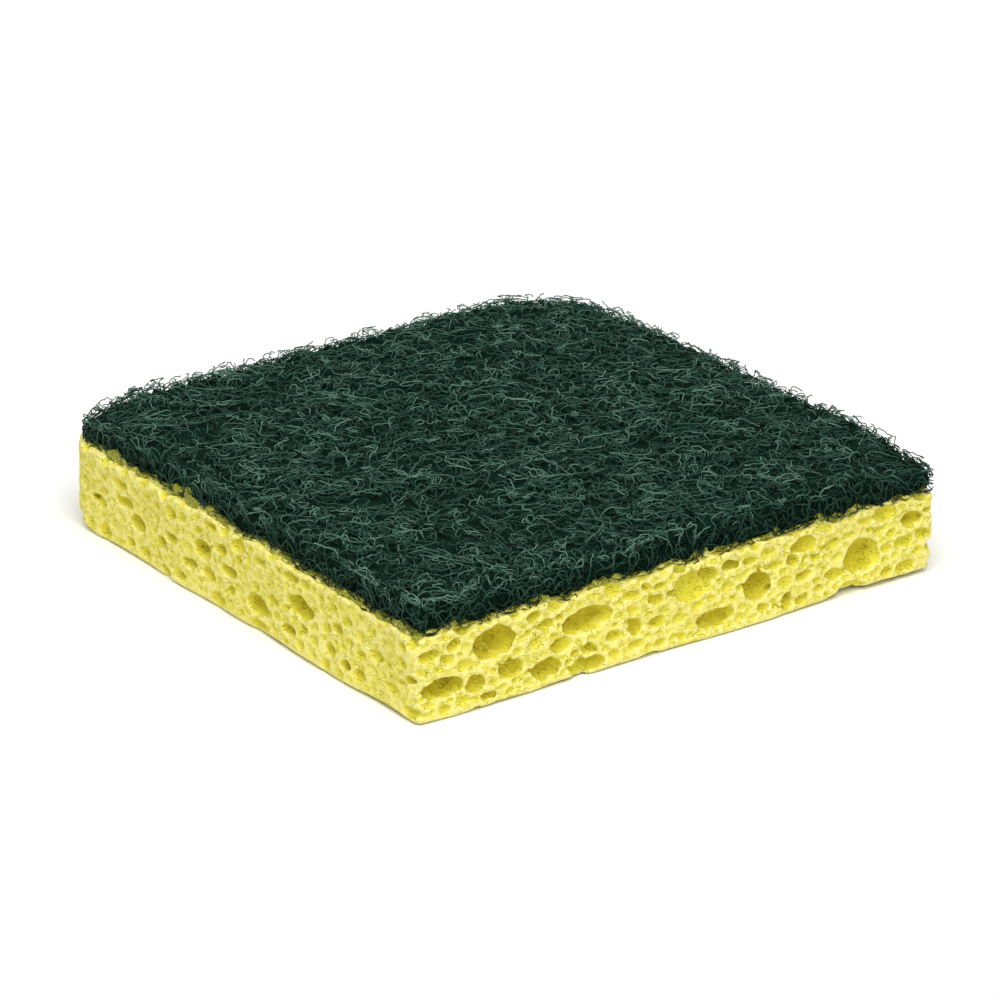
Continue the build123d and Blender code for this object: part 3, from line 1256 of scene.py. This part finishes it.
    def tubes(self, batch: FibreBatch, lines: Array, facing: Array, tones: Array) -> bpy.types.Mesh:
        """Wrap three-sided closed tubes round fibres.

        Args:
            batch: the fibres' name and thickness.
            lines: the fibres' points, by fibre and point.
            facing: the direction that the surface faces at each point.
            tones: how light each point is, from 0 to 1, with its painted shade.

        Returns:
            The mesh, with its tones and its map for baking.
        """
        count, length = lines.shape[:2]
        above_zero = 1e-9
        ahead = np.gradient(lines, axis=1)
        ahead /= np.linalg.norm(ahead, axis=2, keepdims=True) + above_zero
        first = np.cross(ahead, facing)
        first /= np.linalg.norm(first, axis=2, keepdims=True) + above_zero
        second = np.cross(ahead, first)
        sides = 3
        angles = np.arange(sides) * 2 * math.pi / sides
        ring = first[:, :, None] * np.cos(angles)[:, None] + second[:, :, None] * np.sin(angles)[:, None]
        points = (lines[:, :, None] + batch.radius * ring).reshape(-1, 3)
        at = np.arange(count * length * sides).reshape(count, length, sides)
        around = np.roll(at, -1, axis=2)
        near, far = slice(None, -1), slice(1, None)
        lower = np.stack([at[:, near], around[:, near], around[:, far]], -1).reshape(-1, 3)
        upper = np.stack([at[:, near], around[:, far], at[:, far]], -1).reshape(-1, 3)
        caps = np.concatenate([at[:, 0, ::-1], at[:, -1]])
        faces = np.concatenate([lower, upper, caps])
        mesh = mesh_from(batch.name, points, faces)
        tone = np.repeat(tones.reshape(-1), sides)
        mark(mesh, "tone", tone)
        corner = np.empty(len(mesh.loops), np.int32)
        mesh.loops.foreach_get("vertex_index", corner)
        row = (np.arange(len(points)) // (length * sides)) / count
        side = (np.arange(len(points)) % sides) / (2 * sides)
        rim, map_width, map_height = 0.02, 0.96, 0.94
        map_x = rim + map_width * tone[corner]
        map_y = rim + map_height * row[corner] + rim * side[corner]
        place_on_map = np.stack([map_x, map_y], 1)
        layer = mesh.uv_layers.new(name=BAKE_MAP)
        layer.uv.foreach_set("vector", place_on_map.astype(np.float32).ravel())
        return mesh

    def tones(self, batch: FibreBatch, rng: np.random.Generator) -> Array:
        """Draw how light each fibre is, the same along its length but for a slow drift.

        Args:
            batch: the fibres, with their range of tones.
            rng: the source of chance.

        Returns:
            The tones by fibre and point, from 0 to 1.
        """
        base = rng.uniform(*batch.tone, (batch.count, 1))
        phase = rng.uniform(0, self.tone_phase, (batch.count, 1))
        drift = self.tone_drift * np.sin(phase + self.tone_pace * np.arange(batch.points))
        return (base + drift).clip(0, 1)

    def build_top(self, batch: FibreBatch, material: bpy.types.Material) -> bpy.types.Object:
        """Lay a batch of fibres over the pad's top.

        Args:
            batch: the fibres to lay.
            material: their finish.

        Returns:
            The finished piece.
        """
        rng = np.random.default_rng(batch.seed)
        free = self.wander(batch, rng)
        beyond = self.start_beyond
        start = rng.uniform(self.low[:2] - beyond, self.high[:2] + beyond, (batch.count, 2))
        x, y = start[:, :1] + free[:, :, 0], start[:, 1:] + free[:, :, 1]
        allowed = rng.gamma(self.overhang_shape, self.overhang_scale, (batch.count, 1))
        allowed = (allowed - self.overhang_inset).clip(None, self.furthest_overhang)
        gap = 0.05
        for _ in range(self.pulls):
            over = np.maximum(self.plan.distance(x, y) - allowed, 0)
            slope_x = (self.plan.distance(x + gap, y) - self.plan.distance(x - gap, y)) / (2 * gap)
            slope_y = (self.plan.distance(x, y + gap) - self.plan.distance(x, y - gap)) / (2 * gap)
            x, y = x - over * slope_x * self.pull, y - over * slope_y * self.pull
        height = self.high[2] - self.droop(x, y) + self.pressed(batch, free[:, :, 2], rng)
        fall = self.edge_fall * np.maximum(self.plan.distance(x, y) + self.edge_reach, 0) ** self.edge_power
        height -= fall * rng.uniform(*self.edge_share, (batch.count, 1))
        lines = np.stack([x, y, height], -1) + rng.normal(0, self.kink, (batch.count, batch.points, 3))
        facing = np.broadcast_to(np.array([0.0, 0.0, 1.0]), lines.shape)
        # Painted shade: fibres that lie deeper below the pad's top are darkened.
        light = self.top_light - (self.high[2] - height) / self.deepest
        shade = self.tones(batch, rng) * light.clip(self.least_top_light, 1.0)
        return self.dress(self.tubes(batch, lines, facing, shade), material)

    def build_sides(self, batch: FibreBatch, material: bpy.types.Material) -> bpy.types.Object:
        """Lay a batch of fibres round the pad's edge.

        Args:
            batch: the fibres to lay.
            material: their finish.

        Returns:
            The finished piece.
        """
        rng = np.random.default_rng(batch.seed)
        walked, path, outward = self.plan.trace()
        free = self.wander(batch, rng)
        run = walked[-1] + self.plan.trace_step
        tall = self.high[2] - self.low[2]
        place_along = (rng.uniform(0, run, (batch.count, 1)) + free[:, :, 0]) % run
        half = tall / 2 + self.side_overhang
        height = rng.uniform(-half, half, (batch.count, 1)) + free[:, :, 1]
        up = half * np.tanh(height / half) + tall / 2
        out = self.pressed(batch, free[:, :, 2], rng)
        fold = np.concatenate([walked, [run]])
        ring = np.concatenate([path, path[:1]])
        face = np.concatenate([outward, outward[:1]])
        at = np.stack([np.interp(place_along, fold, ring[:, i]) for i in (0, 1)], -1)
        faces_out = np.stack([np.interp(place_along, fold, face[:, i]) for i in (0, 1)], -1)
        plane = at + faces_out * out[..., None]
        drop = Seam().drop(plane[..., 0], plane[..., 1], np.zeros_like(up))
        sagged = (1 - up / tall).clip(0, None) * drop
        drooped = (up / tall).clip(0, 1) * self.droop(plane[..., 0], plane[..., 1])
        up -= sagged + drooped
        lines = np.concatenate([plane, (self.low[2] + up)[..., None]], -1)
        lines = lines + rng.normal(0, self.kink, free.shape)
        facing = np.concatenate([faces_out, np.zeros_like(up)[..., None]], -1)
        # Painted shade: the side fibres darken towards the pad's foot.
        light = self.foot_light + self.rim_light * up / tall
        shade = self.tones(batch, rng) * light.clip(self.least_side_light, 1.0)
        return self.dress(self.tubes(batch, lines, facing, shade), material)

    def build(self) -> list[bpy.types.Object]:
        """Make the core and every layer of fibres."""
        material = FibreFinish().material()
        pieces = [self.build_core()]
        pieces += [self.build_top(batch, material) for batch in TOP_BATCHES]
        return pieces + [self.build_sides(SIDE_BATCH, material)]


def looking_back(azimuth: float, elevation: float) -> tuple[Array, tuple[float, float, float]]:
    """Turn two angles into a stand off the sponge.

    Args:
        azimuth: where it is, in degrees, 0 in front of the cut edge.
        elevation: how high, in degrees.

    Returns:
        The direction from the sponge to the stand, and the rotation that faces the sponge from it.
    """
    turn, rise = math.radians(azimuth), math.radians(elevation)
    away = np.array([math.sin(turn) * math.cos(rise), -math.cos(turn) * math.cos(rise), math.sin(rise)])
    return away, (math.pi / 2 - rise, 0, turn)


@dataclass(frozen=True)
class Lamp:
    """A square soft lamp that hangs off the sponge and faces it, in degrees, metres and watts."""

    name: str
    azimuth: float
    elevation: float
    size: float
    power: float
    distance: float = 1.0

    def hang(self) -> None:
        """Put the lamp in the scene."""
        lamp = bpy.data.lights.new(self.name, "AREA")
        lamp.size = self.size
        lamp.energy = self.power
        piece = bpy.data.objects.new(self.name, lamp)
        bpy.context.scene.collection.objects.link(piece)
        away, piece.rotation_euler = looking_back(self.azimuth, self.elevation)
        piece.location = self.distance * away


LAMPS = (
    Lamp("overhead", azimuth=-40.0, elevation=72.0, size=0.9, power=6.9),
    Lamp("front", azimuth=-26.0, elevation=48.0, size=0.8, power=5.4),
)


@dataclass
class Studio:
    """A pale floor, soft lamps and the camera, in metres and degrees."""

    azimuth: float = -35.98
    elevation: float = 22.34
    distance: float = 0.665
    lens: float = 166.0
    sensor: float = 36.0
    aim: tuple[float, float, float] = (-0.0036, -0.00678, 0.0101)
    floor_size: float = 0.21
    floor_colour: Colour = (0.97, 0.97, 0.97)
    world_light: float = 0.35

    def build_floor(self) -> None:
        """Lay a floor that shows white round the sponge and keeps its shadow."""
        half = self.floor_size / 2 / METRES_PER_MM
        corners = np.array([(-half, -half, 0.0), (half, -half, 0.0), (half, half, 0.0), (-half, half, 0.0)])
        floor = place(mesh_from("floor", corners, np.array([[0, 1, 2, 3]])))
        nodes, shader = new_material("floor")
        shader.inputs["Base Color"].default_value = as_scene_colour(self.floor_colour)
        shader.inputs["Roughness"].default_value = 1.0
        shader.inputs["Specular IOR Level"].default_value = 0.0
        floor.data.materials.append(nodes.material)

    def build_world(self) -> None:
        """Light the scene evenly, and show plain white to the camera and in reflections."""
        world = bpy.data.worlds.new("surround")
        bpy.context.scene.world = world
        world.use_nodes = True
        tree = world.node_tree
        background = tree.nodes["Background"]
        background.inputs["Color"].default_value = (1.0, 1.0, 1.0, 1.0)
        rays = tree.nodes.new("ShaderNodeLightPath")
        seen = rays.outputs["Is Camera Ray"]
        for ray in ("Is Transmission Ray", "Is Glossy Ray"):
            either = tree.nodes.new("ShaderNodeMath")
            either.operation = "MAXIMUM"
            tree.links.new(seen, either.inputs[0])
            tree.links.new(rays.outputs[ray], either.inputs[1])
            seen = either.outputs["Value"]
        strength = tree.nodes.new("ShaderNodeMapRange")
        strength.inputs["To Min"].default_value = self.world_light
        strength.inputs["To Max"].default_value = 1.0
        tree.links.new(seen, strength.inputs["Value"])
        tree.links.new(strength.outputs["Result"], background.inputs["Strength"])

    def build_camera(self) -> None:
        """Stand the camera off the front corner."""
        camera = bpy.data.cameras.new("camera")
        camera.lens = self.lens
        camera.sensor_width = self.sensor
        stand = bpy.data.objects.new("camera", camera)
        bpy.context.scene.collection.objects.link(stand)
        away, stand.rotation_euler = looking_back(self.azimuth, self.elevation)
        stand.location = np.array(self.aim) + self.distance * away
        bpy.context.scene.camera = stand

    def build(self) -> None:
        """Set up everything round the sponge."""
        self.build_camera()
        self.build_floor()
        self.build_world()
        for lamp in LAMPS:
            lamp.hang()
        bpy.context.scene.view_settings.view_transform = "Standard"


def main() -> None:
    """Build the sponge and the studio, and note the sizes."""
    logging.basicConfig(level=logging.INFO, format="%(name)s: %(message)s")
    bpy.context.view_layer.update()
    Studio().build()
    pieces = [SpongeBlock().build(), AdhesiveLayer().build()] + ScouringPad().build()
    for piece in pieces:
        log.info("%s: %d faces", piece.name, len(piece.data.polygons))


if __name__ == "__main__":
    main()
